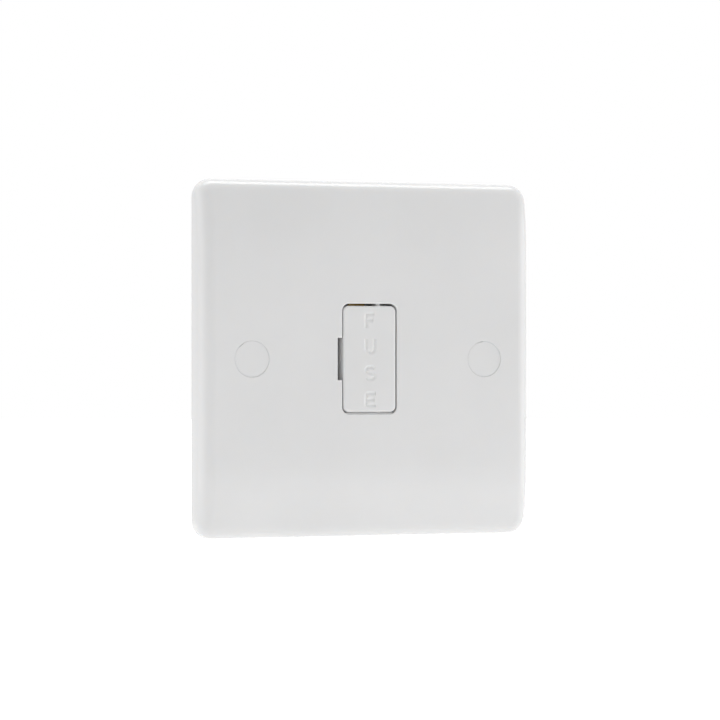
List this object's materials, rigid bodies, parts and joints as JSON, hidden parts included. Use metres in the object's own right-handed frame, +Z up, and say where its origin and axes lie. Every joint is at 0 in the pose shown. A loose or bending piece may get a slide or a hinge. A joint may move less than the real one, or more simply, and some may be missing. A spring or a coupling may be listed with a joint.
{
  "type": "fused connection unit",
  "caption": "Square white wall plate with a hinged fuse carrier in its middle, covered fixing screws and rear terminals, for a fused mains connection.",
  "frame": {"origin": "middle of the plate's rear rim, on the wall plane, half way between the fixing holes", "axes": "+Z up, +Y into the wall, so the face looks along -Y, and +X to the right seen from the room"},
  "size_m": [0.086, 0.021, 0.086],
  "materials": {
    "moulded_white": "smooth moulded urea resin, soft gloss",
    "housing_white": "fine spark-eroded moulded nylon",
    "ceramic": "glazed steatite",
    "plated_brass": "drawn brass, nickel plated",
    "brass": "extruded brass, bright",
    "plated_steel": "turned steel, zinc plated"
  },
  "bodies": {
    "unit": {"front_plate": "moulded_white", "rear_housing": "housing_white", "load_contact": "brass", "supply_contact": "brass", "neutral_bar": "brass", "earth_bar": "brass", "load_earth_terminal": "brass", "load_line_terminal": "brass", "load_neutral_terminal": "brass", "supply_earth_terminal": "brass", "supply_line_terminal": "brass", "supply_neutral_terminal": "brass", "terminal_screws": "plated_steel", "housing_screws": "plated_steel"},
    "carrier": {"fuse_carrier": "moulded_white", "fuse_barrel": "ceramic", "fuse_cap_upper": "plated_brass", "fuse_cap_lower": "plated_brass"},
    "cap_left": {"screw_cap_left": "moulded_white"},
    "cap_right": {"screw_cap_right": "moulded_white"}
  },
  "joints": [
    {"name": "carrier_hinge", "type": "hinge", "parent": "unit", "child": "carrier", "pos_m": [0.0026, -0.0053, 0], "axis": [0, 0, 1], "range_deg": [0, 90]},
    {"name": "left_cap_pull", "type": "slide", "parent": "unit", "child": "cap_left", "axis": [0, -1, 0], "range_m": [0, 0.012]},
    {"name": "right_cap_pull", "type": "slide", "parent": "unit", "child": "cap_right", "axis": [0, -1, 0], "range_m": [0, 0.012]}
  ]
}
